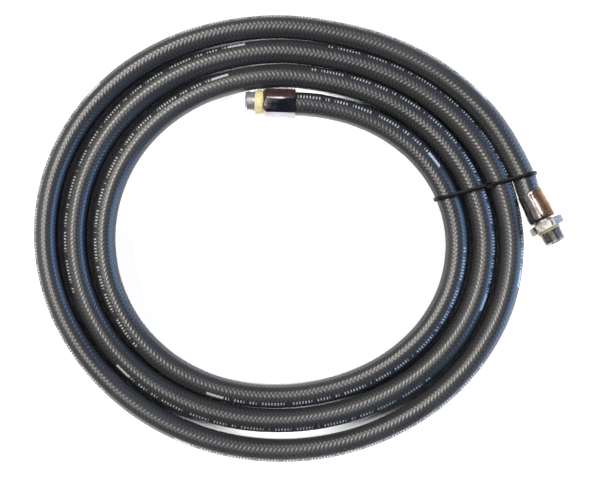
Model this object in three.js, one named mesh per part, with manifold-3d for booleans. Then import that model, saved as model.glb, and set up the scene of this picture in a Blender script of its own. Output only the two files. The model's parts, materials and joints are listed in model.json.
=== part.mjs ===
// Three-quarter inch hydraulic hose assembly, lying coiled flat on a surface and held by one cable tie.
// One end has a hexagonal socket with a fixed male nipple, the other a crimped ferrule with a swivel male end.
// Millimetres, +Z up. The origin is under the middle of the whole assembly, at the level it lies on.

import * as THREE from 'three';
import { mergeVertices } from 'three/addons/utils/BufferGeometryUtils.js';
import Module from 'manifold-3d';

const wasm = await Module();
wasm.setup();

// ---- Driving dimensions -------------------------------------------------------------------------------------

const HOSE_DIAMETER = 27;
const HOSE_RADIUS = HOSE_DIAMETER / 2;
const COVER_INSIDE = 12.15; // radius, as are the next four
const BRAID_OUTSIDE = 11.8;
const BRAID_INSIDE = 11.35;
const TUBE_OUTSIDE = 11;
const TUBE_INSIDE = 9.9;

// The coil, looked at from above. Headings are degrees from +X, and the hose is laid clockwise.
const START_HEADING = 84; // where the hose comes out of the hexagonal socket
const TOTAL_SWEEP = 1153; // a little over three turns, to the mouth of the crimped ferrule
const STEP = 15; // degrees between two sections of the hose
const INNER_RADIUS = 172; // mean radius at the start of the first turn
const FIRST_TURN_GROWTH = 32.2; // how far outside its own start the first turn comes round
const OVAL = 13.4; // the coil is this much longer than round along X, and shorter along Y
const EGG = 1.8;
const OFF_CENTRE = 6;
const OFF_CENTRE_HEADING = -22;
const CONTACT_GAP = 0.45; // between turns that lie against each other
const BEND_GAP = 4.95; // the turns open up by this at the coil's two narrow bends
const BEND_HEADING = -15; // of the middle of one bend, with the other opposite
const LEFT_BEND_EXTRA = 0.2; // share by which the bend at -X opens more than the one at +X
const START_GAP = 2.8; // the second turn stands off the socket by this
const START_GAP_REACH = 75;
const SLACK_GAP = 6.4; // the later turns stand off by this along the near side
const SLACK_HEADING = 271;
const SLACK_REACH = 64;
const SLACK_FROM = 600; // degrees of sweep
const HELD_SHARE = 0.15; // of the bend's gap is left where the end is held in by the tie
const HELD_FROM = 1080; // degrees of sweep

// The hose lies on the floor, rides over the tie's strap, and rises to each fitting.
const TIE_HEADING = 15;
const TIE_LIFT = 2;
const TIE_LIFT_REACH = 30;
const RISE_SWEEP = 60;

// Hexagonal socket and fixed nipple, along their own axis from the mouth where the hose goes in.
const SOCKET_FLATS = 30;
const SOCKET_LENGTH = 36.3;
const SOCKET_WALL = 3;
const SOCKET_ROLL = -7.5;
const SOCKET_HEADING = 178.2;
const SOCKET_AXIS_HEIGHT = 16.4;
const THREAD_RADIUS = 13.2; // three-quarter inch taper thread at its thick end
const THREAD_TAPER = 1 / 32; // loss of radius along the thread
const NIPPLE_BORE = 7;
const STEM_BORE = 6.6;
const FIXED_THREAD_LENGTH = 20.4;
const FIXED_TAPE_LENGTH = 9;

// Crimped ferrule, stem and swivel end, the same way.
const FERRULE_LENGTH = 34.6;
const FERRULE_MOUTH_RADIUS = 14.5;
const FERRULE_HEAD_RADIUS = 16.6;
const FERRULE_WALL = 3;
const SWIVEL_HEADING = -62.4;
const SWIVEL_PITCH = 5; // degrees that the swivel end points up
const SWIVEL_HEX_FLATS = 36;
const SWIVEL_HEX_LENGTH = 8.8;
const SWIVEL_ROLL = 16;
const SWIVEL_HEX_HEIGHT = 20.9; // of its axis, so that the corners clear the floor as it turns
const SWIVEL_THREAD_LENGTH = 18;
const SWIVEL_TAPE_LENGTH = 2.4;

const HOSE_BORE_IN_FITTING = 13.9; // radius of the pocket that takes the hose
const TAIL_RADIUS = 8.75; // of both hose tails, over their barbs
const TAIL_VALLEY = 8.3;
const TAIL_START = 3; // from the mouth
const CLEARANCE = 0.3;

const STRAP_WIDTH = 4.8;
const STRAP_THICKNESS = 1.25;
const STRAP_CLEARANCE = 0.7;
const TIE_HEAD = { length: 7.5, width: 7.6, height: 5 };

const ROUND_SIDES = 32;
const HIDDEN_SIDES = 24; // on what lies inside the fittings
const HOSE_SIDES = 12;
const LAYER_SIDES = 8;

// ---- Finishes -----------------------------------------------------------------------------------------------

const finish = (color, roughness, metalness) =>
  new THREE.MeshStandardMaterial({ color, roughness, metalness });

const coverRubber = finish(0x25262a, 0.55, 0);
const tubeRubber = finish(0x151515, 0.5, 0);
const braidSteel = finish(0xb09a5f, 0.4, 1);
const chrome = finish(0xd8d8dc, 0.12, 1);
const machinedSteel = finish(0xb9bbbf, 0.3, 1);
const creamTape = finish(0xf0dcae, 0.6, 0);
const sealRubber = finish(0x0d0d0d, 0.45, 0);
const blackNylon = finish(0x101012, 0.4, 0);

// ---- Geometry helpers ---------------------------------------------------------------------------------------

const rad = THREE.MathUtils.degToRad;

// A soft hump: 1 at its middle, 0 at one reach away.
const hump = (distance, reach) => {
  const x = Math.min(Math.abs(distance) / reach, 1);
  return (1 - x * x) ** 2;
};

const smooth = (x) => THREE.MathUtils.smoothstep(x, 0, 1);

// The difference between two headings, from -180 to 180.
const between = (a, b) => ((((a - b) % 360) + 540) % 360) - 180;

// A body turned about its own +Z axis. The outline is a closed list of [along the axis, radius].
function turned(outline, sides = ROUND_SIDES) {
  const points = outline.map(([z, r]) => new THREE.Vector2(r, z));
  points.push(points[0].clone());
  return new THREE.LatheGeometry(points, sides).rotateX(Math.PI / 2).rotateZ(Math.PI / sides);
}

function asSolid(geometry) {
  const bare = new THREE.BufferGeometry();
  bare.setAttribute('position', geometry.getAttribute('position').clone());
  if (geometry.index) bare.setIndex(geometry.index.clone());
  const merged = mergeVertices(bare, 1e-4);
  return new wasm.Manifold(new wasm.Mesh({
    numProp: 3,
    vertProperties: new Float32Array(merged.getAttribute('position').array),
    triVerts: new Uint32Array(merged.index.array),
  }));
}

function asGeometry(solid) {
  const mesh = solid.getMesh();
  const geometry = new THREE.BufferGeometry();
  geometry.setAttribute('position', new THREE.BufferAttribute(new Float32Array(mesh.vertProperties), 3));
  geometry.setIndex(new THREE.BufferAttribute(new Uint32Array(mesh.triVerts), 1));
  geometry.computeVertexNormals();
  return geometry;
}

function named(name, geometry, material) {
  const mesh = new THREE.Mesh(geometry, material);
  mesh.name = name;
  return mesh;
}

// A hexagonal bar along +Z from 0 to its length, its corners turned down at both ends by the given outline.
function hexBar(flats, length, roll, endOutline) {
  const corner = flats / Math.sqrt(3);
  const shape = new THREE.Shape();
  for (let i = 0; i < 6; i += 1) {
    const angle = rad(60 * i + roll);
    shape[i ? 'lineTo' : 'moveTo'](corner * Math.cos(angle), corner * Math.sin(angle));
  }
  shape.closePath();
  const bar = new THREE.ExtrudeGeometry(shape, { depth: length, bevelEnabled: false });
  return asSolid(bar).intersect(asSolid(turned(endOutline)));
}

// ---- The hose's route ---------------------------------------------------------------------------------------

const TURN = 360;

// How far the turn at this sweep stands clear of the turn inside it.
function gapAt(sweep) {
  const heading = START_HEADING - sweep;
  const side = Math.cos(rad(heading - BEND_HEADING));
  const held = sweep > HELD_FROM ? HELD_SHARE : 1;
  const bend = held * BEND_GAP * side ** 2 * (1 - LEFT_BEND_EXTRA * side);
  const start = START_GAP * hump(sweep - TURN, START_GAP_REACH);
  const slack = sweep > SLACK_FROM ? SLACK_GAP * hump(between(heading, SLACK_HEADING), SLACK_REACH) : 0;
  return CONTACT_GAP + bend + start + slack;
}

// Each turn after the first lies against the one before it.
function radiusAt(sweep) {
  if (sweep >= TURN) return radiusAt(sweep - TURN) + HOSE_DIAMETER + gapAt(sweep);
  const heading = START_HEADING - sweep;
  return INNER_RADIUS + (FIRST_TURN_GROWTH * sweep) / TURN
    + OVAL * Math.cos(rad(2 * heading))
    + EGG * Math.cos(rad(3 * heading))
    + OFF_CENTRE * Math.cos(rad(heading - OFF_CENTRE_HEADING));
}

function routePoint(sweep) {
  const heading = START_HEADING - sweep;
  const radius = radiusAt(sweep);
  const lift = TIE_LIFT * hump(between(heading, TIE_HEADING), TIE_LIFT_REACH);
  const atSocket = (SOCKET_AXIS_HEIGHT - HOSE_RADIUS) * smooth(1 - sweep / RISE_SWEEP);
  return new THREE.Vector3(
    radius * Math.cos(rad(heading)),
    radius * Math.sin(rad(heading)),
    HOSE_RADIUS + Math.max(lift, atSocket),
  );
}

const socketAxis = new THREE.Vector3(Math.cos(rad(SOCKET_HEADING)), Math.sin(rad(SOCKET_HEADING)), 0);
const swivelAxis = new THREE.Vector3(
  Math.cos(rad(SWIVEL_HEADING)) * Math.cos(rad(SWIVEL_PITCH)),
  Math.sin(rad(SWIVEL_HEADING)) * Math.cos(rad(SWIVEL_PITCH)),
  Math.sin(rad(SWIVEL_PITCH)),
);

const socketMouth = routePoint(0);
const swivelMouth = routePoint(TOTAL_SWEEP);
const hexMiddle = FERRULE_LENGTH + SWIVEL_HEX_LENGTH / 2;
swivelMouth.z = SWIVEL_HEX_HEIGHT - hexMiddle * Math.sin(rad(SWIVEL_PITCH));

const socketDepth = SOCKET_LENGTH - SOCKET_WALL - CLEARANCE;
const ferruleDepth = FERRULE_LENGTH - FERRULE_WALL - CLEARANCE;

function hoseRoute() {
  const points = [socketMouth.clone().addScaledVector(socketAxis, socketDepth), socketMouth.clone()];
  const firstStation = Math.ceil((START_HEADING % STEP) + 1e-9);
  for (let sweep = firstStation; sweep < TOTAL_SWEEP - 1; sweep += STEP) points.push(routePoint(sweep));
  points.push(swivelMouth.clone(), swivelMouth.clone().addScaledVector(swivelAxis, ferruleDepth));
  return points;
}

// The sections stand at the route's own points, so the facets of neighbouring turns line up.
const route = new THREE.CatmullRomCurve3(hoseRoute(), false, 'centripetal');
route.getUtoTmapping = (u) => u;

function hoseLayer(outside, inside, sides) {
  const section = new THREE.Shape();
  const ring = (path, radius, count) => {
    for (let i = 0; i < count; i += 1) {
      const angle = (2 * Math.PI * i) / count;
      path[i ? 'lineTo' : 'moveTo'](radius * Math.cos(angle), radius * Math.sin(angle));
    }
    path.closePath();
    return path;
  };
  ring(section, outside, sides);
  section.holes.push(ring(new THREE.Path(), inside, LAYER_SIDES));
  const steps = route.points.length - 1;
  return new THREE.ExtrudeGeometry(section, { steps, bevelEnabled: false, extrudePath: route });
}

// ---- Fittings, each along +Z from the mouth where the hose goes in --------------------------------------------

// The barbed tail that the hose is pushed over, as outline points from its open end to the given place.
function tail(start, end) {
  const barbs = 4;
  const pitch = (end - start - 4) / barbs;
  const outline = [[start, TAIL_VALLEY]];
  for (let i = 0; i < barbs; i += 1) {
    outline.push([start + pitch * (i + 0.75), TAIL_RADIUS], [start + pitch * (i + 0.85), TAIL_VALLEY]);
  }
  outline.push([end, TAIL_VALLEY]);
  return outline;
}

function threadOutline(start, length) {
  const chamfer = 2;
  const thin = THREAD_RADIUS - (length - chamfer) * THREAD_TAPER;
  return [[start, THREAD_RADIUS], [start + length - chamfer, thin], [start + length, thin - 1.7]];
}

function hexSocket() {
  const corner = SOCKET_FLATS / Math.sqrt(3);
  const face = SOCKET_FLATS / 2 - 0.6;
  const bar = hexBar(SOCKET_FLATS, SOCKET_LENGTH, SOCKET_ROLL, [
    [0, 0], [0, corner - 1.6], [0.9, corner + 0.2], [SOCKET_LENGTH - 4.6, corner + 0.2],
    [SOCKET_LENGTH - 1.4, face + 0.7], [SOCKET_LENGTH, face - 0.5], [SOCKET_LENGTH, 0],
  ]);
  const pocket = turned([
    [-1, 0], [-1, HOSE_BORE_IN_FITTING], [SOCKET_LENGTH - SOCKET_WALL, HOSE_BORE_IN_FITTING],
    [SOCKET_LENGTH - SOCKET_WALL, 10], [SOCKET_LENGTH + 1, 10], [SOCKET_LENGTH + 1, 0],
  ]);
  return asGeometry(bar.subtract(asSolid(pocket)));
}

function fixedNipple() {
  const shoulder = SOCKET_LENGTH + CLEARANCE;
  const tip = shoulder + FIXED_THREAD_LENGTH;
  return turned([
    ...tail(TAIL_START, SOCKET_LENGTH - SOCKET_WALL),
    [SOCKET_LENGTH - SOCKET_WALL, 9.6], [shoulder, 9.6],
    ...threadOutline(shoulder, FIXED_THREAD_LENGTH),
    [tip, NIPPLE_BORE], [TAIL_START, NIPPLE_BORE],
  ]);
}

function tapeBand(start, length, thickness) {
  const inside = THREAD_RADIUS + CLEARANCE;
  const outside = inside + thickness;
  return turned([
    [start, inside], [start, outside - 0.15], [start + length * 0.2, outside],
    [start + length * 0.75, outside - 0.05], [start + length, outside - 0.25], [start + length, inside],
  ]);
}

function crimpFerrule() {
  const mouth = FERRULE_MOUTH_RADIUS;
  const head = FERRULE_HEAD_RADIUS;
  const inner = FERRULE_LENGTH - FERRULE_WALL;
  return turned([
    [0, HOSE_BORE_IN_FITTING + 0.1], [0, mouth - 0.25], [0.6, mouth], [7, mouth + 0.3], [12, mouth + 0.9],
    [FERRULE_LENGTH - 8, head - 0.3], [FERRULE_LENGTH - 3, head], [FERRULE_LENGTH - 1, head - 0.4],
    [FERRULE_LENGTH, head - 1.6], [FERRULE_LENGTH, 9.9], [inner, 9.9], [inner, HOSE_BORE_IN_FITTING + 0.1],
  ]);
}

// Places along the swivel end, from the ferrule outwards.
const collarStart = FERRULE_LENGTH + CLEARANCE;
const collarEnd = collarStart + 1.2;
const washerStart = collarEnd + CLEARANCE;
const washerEnd = washerStart + 1;
const hexStart = washerEnd + CLEARANCE;
const hexEnd = hexStart + SWIVEL_HEX_LENGTH;
const swivelTip = hexEnd + SWIVEL_THREAD_LENGTH;
const noseRadius = 9.9;
const noseEnd = hexEnd + 6;
const ringPlace = hexStart + 3.2;
const sealPlaces = [hexEnd - 1.8, hexEnd + 2.4];
const swivelBore = 10.25;
const ringGroove = { width: 2.4, inStem: 8.95, inBody: 11.25 };
const sealGroove = { width: 2.2, radius: 8.15 };

function swivelStem() {
  const groove = (middle, width, radius) => [
    [middle - width / 2, noseRadius], [middle - width / 2, radius],
    [middle + width / 2, radius], [middle + width / 2, noseRadius],
  ];
  return turned([
    ...tail(TAIL_START, FERRULE_LENGTH - FERRULE_WALL),
    [FERRULE_LENGTH - FERRULE_WALL, 9.5], [collarStart, 9.5],
    [collarStart, 12.8], [collarEnd, 12.8], [collarEnd, noseRadius],
    ...groove(ringPlace, ringGroove.width, ringGroove.inStem),
    ...sealPlaces.flatMap((place) => groove(place, sealGroove.width, sealGroove.radius)),
    [noseEnd, noseRadius], [noseEnd, STEM_BORE], [TAIL_START, STEM_BORE],
  ], HIDDEN_SIDES);
}

function swivelBody() {
  const corner = SWIVEL_HEX_FLATS / Math.sqrt(3);
  const chamfered = corner - 1.5;
  const hex = hexBar(SWIVEL_HEX_FLATS, SWIVEL_HEX_LENGTH, SWIVEL_ROLL, [
    [0, 0], [0, chamfered], [1, corner + 0.1], [SWIVEL_HEX_LENGTH - 1, corner + 0.1],
    [SWIVEL_HEX_LENGTH, chamfered], [SWIVEL_HEX_LENGTH, 0],
  ]).translate([0, 0, hexStart]);
  const spigot = turned([
    [hexStart + 1, 0], ...threadOutline(hexEnd - 1, SWIVEL_THREAD_LENGTH + 1), [swivelTip, 0],
  ]);
  const bore = turned([
    [hexStart - 1, 0], [hexStart - 1, swivelBore],
    [ringPlace - ringGroove.width / 2, swivelBore], [ringPlace - ringGroove.width / 2, ringGroove.inBody],
    [ringPlace + ringGroove.width / 2, ringGroove.inBody], [ringPlace + ringGroove.width / 2, swivelBore],
    [noseEnd + 0.5, swivelBore], [noseEnd + 0.5, NIPPLE_BORE + 0.5],
    [swivelTip + 1, NIPPLE_BORE + 0.5], [swivelTip + 1, 0],
  ]);
  return asGeometry(hex.add(asSolid(spigot)).subtract(asSolid(bore)));
}

// A ring of round wire or cord about the axis.
function ringOf(place, radius, thickness) {
  const outline = [];
  const sectionSides = 6;
  for (let i = 0; i < sectionSides; i += 1) {
    const angle = (2 * Math.PI * i) / sectionSides;
    outline.push([place + (thickness / 2) * Math.sin(angle), radius + (thickness / 2) * Math.cos(angle)]);
  }
  return turned(outline, HIDDEN_SIDES);
}

// Puts a fitting's group at the hose's mouth, with its +Z out along the given axis.
function placed(mouth, axis, pieces) {
  const group = new THREE.Group();
  const side = new THREE.Vector3(0, 0, 1).cross(axis).normalize();
  const up = axis.clone().cross(side);
  group.quaternion.setFromRotationMatrix(new THREE.Matrix4().makeBasis(side, up, axis));
  group.position.copy(mouth);
  group.add(...pieces);
  return group;
}

// ---- Cable tie: a flat strap round the turns, with its head on top ---------------------------------------------

function cableTie() {
  const near = radiusAt(START_HEADING - TIE_HEADING);
  const far = radiusAt(START_HEADING - TIE_HEADING + 3 * TURN);
  const height = HOSE_RADIUS + TIE_LIFT;
  const inside = HOSE_RADIUS + STRAP_CLEARANCE;
  const outline = (path, radius, clear) => {
    path.absarc(far + clear, height, radius, -Math.PI / 2, Math.PI / 2, false);
    path.absarc(near - clear, height, radius, Math.PI / 2, (3 * Math.PI) / 2, false);
    path.closePath();
    return path;
  };
  const shape = outline(new THREE.Shape(), inside + STRAP_THICKNESS, 0.8);
  shape.holes.push(outline(new THREE.Path(), inside, 0.8));
  const band = new THREE.ExtrudeGeometry(shape, { depth: STRAP_WIDTH, bevelEnabled: false, curveSegments: 8 });
  band.translate(0, 0, -STRAP_WIDTH / 2);
  const { length, width, height: tall } = TIE_HEAD;
  const head = new THREE.BoxGeometry(length, tall, width);
  head.translate(near + (far - near) * 0.53, height + inside + tall / 2, 0);
  const tie = asGeometry(asSolid(band).add(asSolid(head)));
  return tie.rotateX(Math.PI / 2).rotateZ(rad(TIE_HEADING));
}

// ---- The assembly -------------------------------------------------------------------------------------------

const assembly = new THREE.Group();

assembly.add(
  named('hose_cover', hoseLayer(HOSE_RADIUS, COVER_INSIDE, HOSE_SIDES), coverRubber),
  named('wire_braid', hoseLayer(BRAID_OUTSIDE, BRAID_INSIDE, LAYER_SIDES), braidSteel),
  named('inner_tube', hoseLayer(TUBE_OUTSIDE, TUBE_INSIDE, LAYER_SIDES), tubeRubber),
  named('cable_tie', cableTie(), blackNylon),
);

assembly.add(placed(socketMouth, socketAxis, [
  named('hex_socket', hexSocket(), chrome),
  named('fixed_nipple', fixedNipple(), machinedSteel),
  named('fixed_thread_tape', tapeBand(SOCKET_LENGTH + 2 * CLEARANCE, FIXED_TAPE_LENGTH, 0.55), creamTape),
]));

assembly.add(placed(swivelMouth, swivelAxis, [
  named('crimp_ferrule', crimpFerrule(), chrome),
  named('swivel_stem', swivelStem(), machinedSteel),
  named('thrust_washer', turned([
    [washerStart, 10.25], [washerStart, 13.4], [washerEnd, 13.4], [washerEnd, 10.25],
  ]), machinedSteel),
  named('swivel_body', swivelBody(), chrome),
  named('retaining_ring', ringOf(ringPlace, 10.1, 1.6), machinedSteel),
  named('rear_o_ring', ringOf(sealPlaces[0], 9.2, 1.45), sealRubber),
  named('front_o_ring', ringOf(sealPlaces[1], 9.2, 1.45), sealRubber),
  named('swivel_thread_tape', tapeBand(hexEnd + CLEARANCE, SWIVEL_TAPE_LENGTH, 0.35), creamTape),
]));

// The origin goes under the middle of the assembly's outline.
const outlineBox = new THREE.Box3().setFromObject(assembly, true);
const middle = outlineBox.getCenter(new THREE.Vector3());
assembly.position.set(-middle.x, -middle.y, -outlineBox.min.z);

export default assembly;
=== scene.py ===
"""A three-quarter inch hydraulic hose assembly, coiled flat on a pale floor and held by one cable tie."""

import json
import math

import bmesh
import bpy
import numpy as np
from mathutils import Matrix, Vector


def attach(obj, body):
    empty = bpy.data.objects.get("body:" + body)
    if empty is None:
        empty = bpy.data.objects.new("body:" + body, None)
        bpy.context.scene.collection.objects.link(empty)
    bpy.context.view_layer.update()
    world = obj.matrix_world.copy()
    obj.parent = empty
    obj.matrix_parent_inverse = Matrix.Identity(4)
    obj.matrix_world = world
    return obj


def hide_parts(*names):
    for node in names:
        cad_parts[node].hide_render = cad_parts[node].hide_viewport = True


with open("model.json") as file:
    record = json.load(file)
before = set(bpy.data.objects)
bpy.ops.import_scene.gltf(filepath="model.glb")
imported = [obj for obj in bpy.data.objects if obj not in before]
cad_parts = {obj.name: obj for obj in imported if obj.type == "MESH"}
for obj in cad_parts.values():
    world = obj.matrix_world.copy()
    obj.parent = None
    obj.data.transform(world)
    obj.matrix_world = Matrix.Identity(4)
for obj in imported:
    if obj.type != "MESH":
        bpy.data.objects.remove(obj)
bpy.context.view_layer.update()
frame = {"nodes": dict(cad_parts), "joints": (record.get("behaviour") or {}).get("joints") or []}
bpy.ops.object.select_all(action="DESELECT")
scene = bpy.context.scene
scene.view_settings.view_transform = "Standard"


# ---- Camera -----------------------------------------------------------------
# It hangs over the middle of the coil and looks straight down through a long lens, with +Y at the top.

view_width = 0.680
view_distance = 2.2
sensor_width = 36

camera_data = bpy.data.cameras.new("camera")
camera_data.sensor_width = sensor_width
camera_data.lens = sensor_width * view_distance / view_width
camera = bpy.data.objects.new("camera", camera_data)
camera.location = (0.0002, -0.0015, view_distance + 0.0135)
scene.collection.objects.link(camera)
scene.camera = camera


# ---- Hose cover -------------------------------------------------------------
# The outer jacket of black synthetic rubber. It was cured under a woven wrap over the braid, so its skin
# carries a herringbone of small slanted bumps, and a lay line of pale ink runs along it. It lies on the floor.

hose_diameter = 0.027
hose_radius = hose_diameter / 2
cover_inside = 0.01215
stitch_length = 0.0049
stitch_columns = 14
sides_in_column = 3
stitch_depth = 0.00014
low_side = 0.3  # the side between two columns stands this share of the way up
inner_step = 6  # stations of the outer skin for each one of an inner or hidden skin

start_heading = 84  # degrees from +X, where the hose comes out of the socket; it is laid clockwise
total_sweep = 1153
full_turn = 360
station_step = 15
inner_radius = 0.172
first_turn_growth = 0.0322
oval = 0.0134
egg = 0.0018
off_centre = 0.006
off_centre_heading = -22
contact_gap = 0.00045
bend_gap = 0.00495  # the turns open up by this at the coil's two narrow bends
bend_heading = -15
left_bend_extra = 0.2
start_gap = 0.0028  # the second turn stands off the socket by this
start_gap_reach = 75
slack_gap = 0.0064  # the later turns stand off by this along the near side
slack_heading = 271
slack_reach = 64
slack_from = 600  # degrees of sweep
held_share = 0.15  # of the bend's gap is left where the end is held in by the tie
held_from = 1080
tie_heading = 15
tie_lift = 0.002
tie_lift_reach = 30
rise_sweep = 60
socket_heading = 178.2
socket_axis_height = 0.0164
hose_in_socket = 0.033
hose_in_ferrule = 0.0313


def hump(distance, reach):
    """A soft hump: 1 at its middle, 0 at one reach away."""
    x = min(abs(distance) / reach, 1)
    return (1 - x * x) ** 2


def between(a, b):
    """The difference between two headings, from -180 to 180."""
    return (a - b + 180) % 360 - 180


def smooth(x):
    """An even change from 0 to 1."""
    x = min(max(x, 0), 1)
    return x * x * (3 - 2 * x)


def gap_at(sweep):
    """How far the turn at this sweep stands clear of the turn inside it."""
    heading = start_heading - sweep
    side = math.cos(math.radians(heading - bend_heading))
    held = held_share if sweep > held_from else 1
    bend = held * bend_gap * side**2 * (1 - left_bend_extra * side)
    start = start_gap * hump(sweep - full_turn, start_gap_reach)
    slack = slack_gap * hump(between(heading, slack_heading), slack_reach)
    return contact_gap + bend + start + (slack if sweep > slack_from else 0)


def radius_at(sweep):
    """Each turn after the first lies against the one before it."""
    if sweep >= full_turn:
        return radius_at(sweep - full_turn) + hose_diameter + gap_at(sweep)
    heading = math.radians(start_heading - sweep)
    return (
        inner_radius
        + first_turn_growth * sweep / full_turn
        + oval * math.cos(2 * heading)
        + egg * math.cos(3 * heading)
        + off_centre * math.cos(heading - math.radians(off_centre_heading))
    )


def run_point(sweep):
    """A place on the hose's middle line, from the middle of the coil."""
    heading = start_heading - sweep
    radius = radius_at(sweep)
    lift = tie_lift * hump(between(heading, tie_heading), tie_lift_reach)
    at_socket = (socket_axis_height - hose_radius) * smooth(1 - sweep / rise_sweep)
    turn = math.radians(heading)
    return Vector((radius * math.cos(turn), radius * math.sin(turn), hose_radius + max(lift, at_socket)))


# The joint gives the mouth and the axis of the swivel end, and so the coil's middle.
joint = frame["joints"][0]
swivel_mouth = Vector(joint["pos_m"])
swivel_axis = Vector(joint["axis"]).normalized()
last_point = run_point(total_sweep)
coil_middle = Vector((swivel_mouth.x - last_point.x, swivel_mouth.y - last_point.y, 0))
socket_mouth = run_point(0) + coil_middle
socket_turn = math.radians(socket_heading)
socket_axis = Vector((math.cos(socket_turn), math.sin(socket_turn), 0))

run = [socket_mouth + socket_axis * hose_in_socket, socket_mouth]
first_station = start_heading % station_step
for sweep in range(first_station, total_sweep - 1, station_step):
    run.append(run_point(sweep) + coil_middle)
run += [swivel_mouth, swivel_mouth + swivel_axis * hose_in_ferrule]


def smooth_run(points, spacing):
    """An even walk along the smooth curve through the points, and its length."""
    steps_in_span = 24
    ghost_start = points[0] * 2 - points[1]
    ghost_end = points[-1] * 2 - points[-2]
    row = [np.array(p) for p in (ghost_start, *points, ghost_end)]
    fine = []
    for p0, p1, p2, p3 in zip(row, row[1:], row[2:], row[3:]):
        t1 = np.linalg.norm(p1 - p0) ** 0.5
        t2 = t1 + np.linalg.norm(p2 - p1) ** 0.5
        t3 = t2 + np.linalg.norm(p3 - p2) ** 0.5
        for t in np.linspace(t1, t2, steps_in_span, endpoint=False):
            a = (p0 * (t1 - t) + p1 * t) / t1
            b = (p1 * (t2 - t) + p2 * (t - t1)) / (t2 - t1)
            c = (p2 * (t3 - t) + p3 * (t - t2)) / (t3 - t2)
            low = (a * (t2 - t) + b * t) / t2
            high = (b * (t3 - t) + c * (t - t1)) / (t3 - t1)
            fine.append((low * (t2 - t) + high * (t - t1)) / (t2 - t1))
    fine.append(row[-2])
    fine = np.array(fine)
    walked = np.concatenate([[0], np.cumsum(np.linalg.norm(np.diff(fine, axis=0), axis=1))])
    length = walked[-1]
    marks = np.linspace(0, length, round(length / spacing) + 1)
    return np.stack([np.interp(marks, walked, fine[:, i]) for i in range(3)], axis=1), length


def lay_line_angle(share):
    """Where the lay line sits, from the hose's top outwards: the hose was wound with a slow twist."""
    first_angle = 35
    twist = 27
    return math.radians(first_angle + twist * share)


def hose_rings(centres, radii):
    """Rings of points about the hose's middle. The lay line is at the middle of each row of radii."""
    ahead = np.gradient(centres, axis=0)
    ahead /= np.linalg.norm(ahead, axis=1)[:, None]
    out = np.cross([0, 0, 1], ahead)
    out /= np.linalg.norm(out, axis=1)[:, None]
    up = np.cross(ahead, out)
    stations, sides = radii.shape
    twist = np.array([lay_line_angle(k / (stations - 1)) for k in range(stations)])
    turn = twist[:, None] + 2 * math.pi * (np.arange(sides) / sides - 0.5)[None, :]
    way = np.cos(turn)[:, :, None] * up[:, None, :] + np.sin(turn)[:, :, None] * out[:, None, :]
    return centres[:, None, :] + radii[:, :, None] * way


def skin_faces(stations, sides, first, inward):
    """Quads between neighbouring rings, and each corner's place along and round the hose as shares."""
    k, j = np.meshgrid(np.arange(stations - 1), np.arange(sides), indexing="ij")
    k, j = k.ravel(), j.ravel()
    corners = [(k, j), (k + 1, j), (k + 1, j + 1), (k, j + 1)]
    if inward:
        corners.reverse()
    quads = np.stack([first + a * sides + b % sides for a, b in corners], axis=1)
    shares = [np.stack([a / (stations - 1), b / sides], axis=1) for a, b in corners]
    places = np.stack(shares, axis=1)
    return quads, places


def hose_layer(name, outside, inside, coarse):
    """One layer of the hose: an outer skin, an inner skin with fewer stations, and flat ends between them."""
    outer = hose_rings(hose_centres, outside)
    inner_sides = outside.shape[1] // 2
    inner_centres = np.concatenate([hose_centres[:-1:coarse], hose_centres[-1:]])
    inner = hose_rings(inner_centres, np.full((len(inner_centres), inner_sides), inside))
    outer_quads, outer_places = skin_faces(*outer.shape[:2], 0, False)
    first_inner = outer.shape[0] * outer.shape[1]
    inner_quads, inner_places = skin_faces(*inner.shape[:2], first_inner, True)
    faces = outer_quads.tolist() + inner_quads.tolist()
    places = outer_places.reshape(-1, 2).tolist() + inner_places.reshape(-1, 2).tolist()
    sides = outside.shape[1]
    last_inner = first_inner + (inner.shape[0] - 1) * inner_sides
    for outer_start, inner_start, along in ((0, first_inner, 0), (first_inner - sides, last_inner, 1)):
        for i in range(inner_sides):
            a, b, c = (outer_start + (2 * i + step) % sides for step in range(3))
            d, e = inner_start + i, inner_start + (i + 1) % inner_sides
            for face in ([a, b, d], [b, c, e, d]):
                faces.append(face[::-1] if along else face)
                places += [(along, i / inner_sides)] * len(face)
    mesh = bpy.data.meshes.new(name)
    points = np.concatenate([outer.reshape(-1, 3), inner.reshape(-1, 3)])
    mesh.from_pydata(points.tolist(), [], faces)
    uv = mesh.uv_layers.new(name="along_and_round")
    uv.data.foreach_set("uv", (np.array(places) * [hose_length, 1]).ravel())
    mesh.shade_smooth()
    layer = bpy.data.objects.new(name, mesh)
    scene.collection.objects.link(layer)
    return layer


def new_material(name):
    material = bpy.data.materials.new(name)
    material.use_nodes = True
    return material, material.node_tree, material.node_tree.nodes["Principled BSDF"]


def maths(tree, operation, *values):
    """One Math node: its values are numbers or other nodes' sockets."""
    node = tree.nodes.new("ShaderNodeMath")
    node.operation = operation
    for socket, value in zip(node.inputs, values):
        if isinstance(value, (int, float)):
            socket.default_value = value
        else:
            tree.links.new(value, socket)
    return node.outputs[0]


def ramp(tree, value, low, high, to_low=0.0, to_high=1.0):
    """The value, taken from low..high to to_low..to_high and held there."""
    node = tree.nodes.new("ShaderNodeMapRange")
    tree.links.new(value, node.inputs["Value"])
    node.inputs["From Min"].default_value = low
    node.inputs["From Max"].default_value = high
    node.inputs["To Min"].default_value = to_low
    node.inputs["To Max"].default_value = to_high
    return node.outputs["Result"]


def mixed(tree, share, first, second):
    """Two colours mixed; each is a colour or a socket."""
    node = tree.nodes.new("ShaderNodeMix")
    node.data_type = "RGBA"
    tree.links.new(share, node.inputs["Factor"])
    for socket, value in zip((node.inputs[6], node.inputs[7]), (first, second)):
        if isinstance(value, tuple):
            socket.default_value = (*value, 1)
        else:
            tree.links.new(value, socket)
    return node.outputs[2]


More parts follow.
